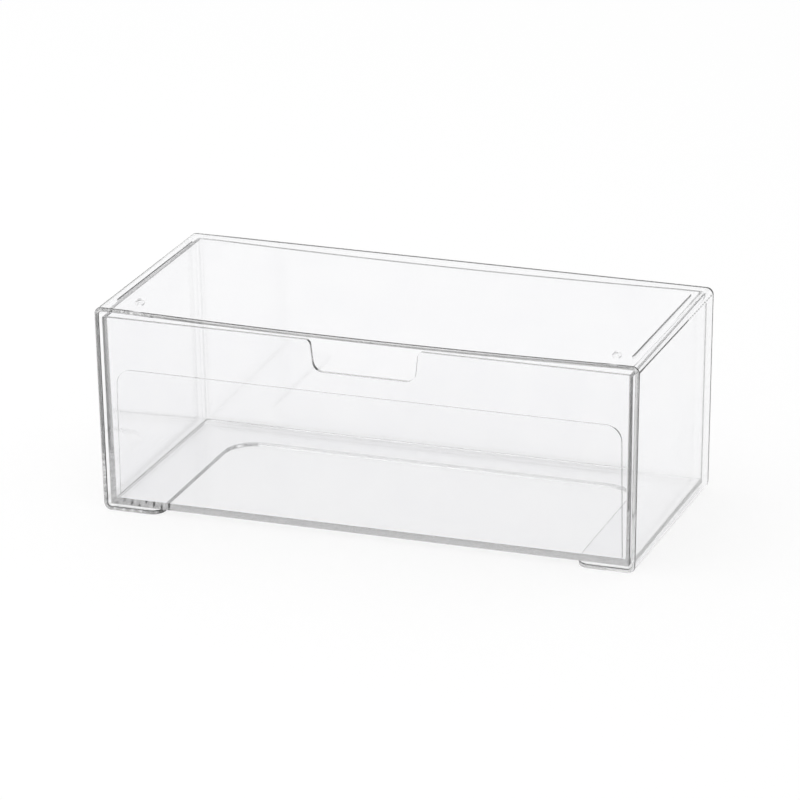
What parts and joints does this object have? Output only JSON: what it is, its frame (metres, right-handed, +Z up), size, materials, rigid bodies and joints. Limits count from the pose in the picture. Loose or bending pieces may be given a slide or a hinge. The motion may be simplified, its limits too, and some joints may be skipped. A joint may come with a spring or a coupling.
{
  "type": "desk drawer unit",
  "caption": "Clear plastic desktop drawer unit: an open-fronted sleeve with rounded feet and stacking ribs holds a wide tub drawer with a finger notch that slides out.",
  "frame": {"origin": "on the desk, under the middle of the casing", "axes": "+Z up, the open front with the drawer faces -Y, +X runs along the width, to the right for someone who faces the open front"},
  "size_m": [0.2218, 0.0984, 0.0844],
  "materials": {
    "casing_polystyrene": "clear, glossy moulded polystyrene",
    "drawer_polystyrene": "clear, glossy moulded polystyrene"
  },
  "bodies": {
    "casing": {"casing": "casing_polystyrene"},
    "drawer": {"drawer": "drawer_polystyrene"}
  },
  "joints": [
    {"name": "drawer_slide", "type": "slide", "parent": "casing", "child": "drawer", "axis": [0, -1, 0], "range_m": [0, 0.078]}
  ]
}
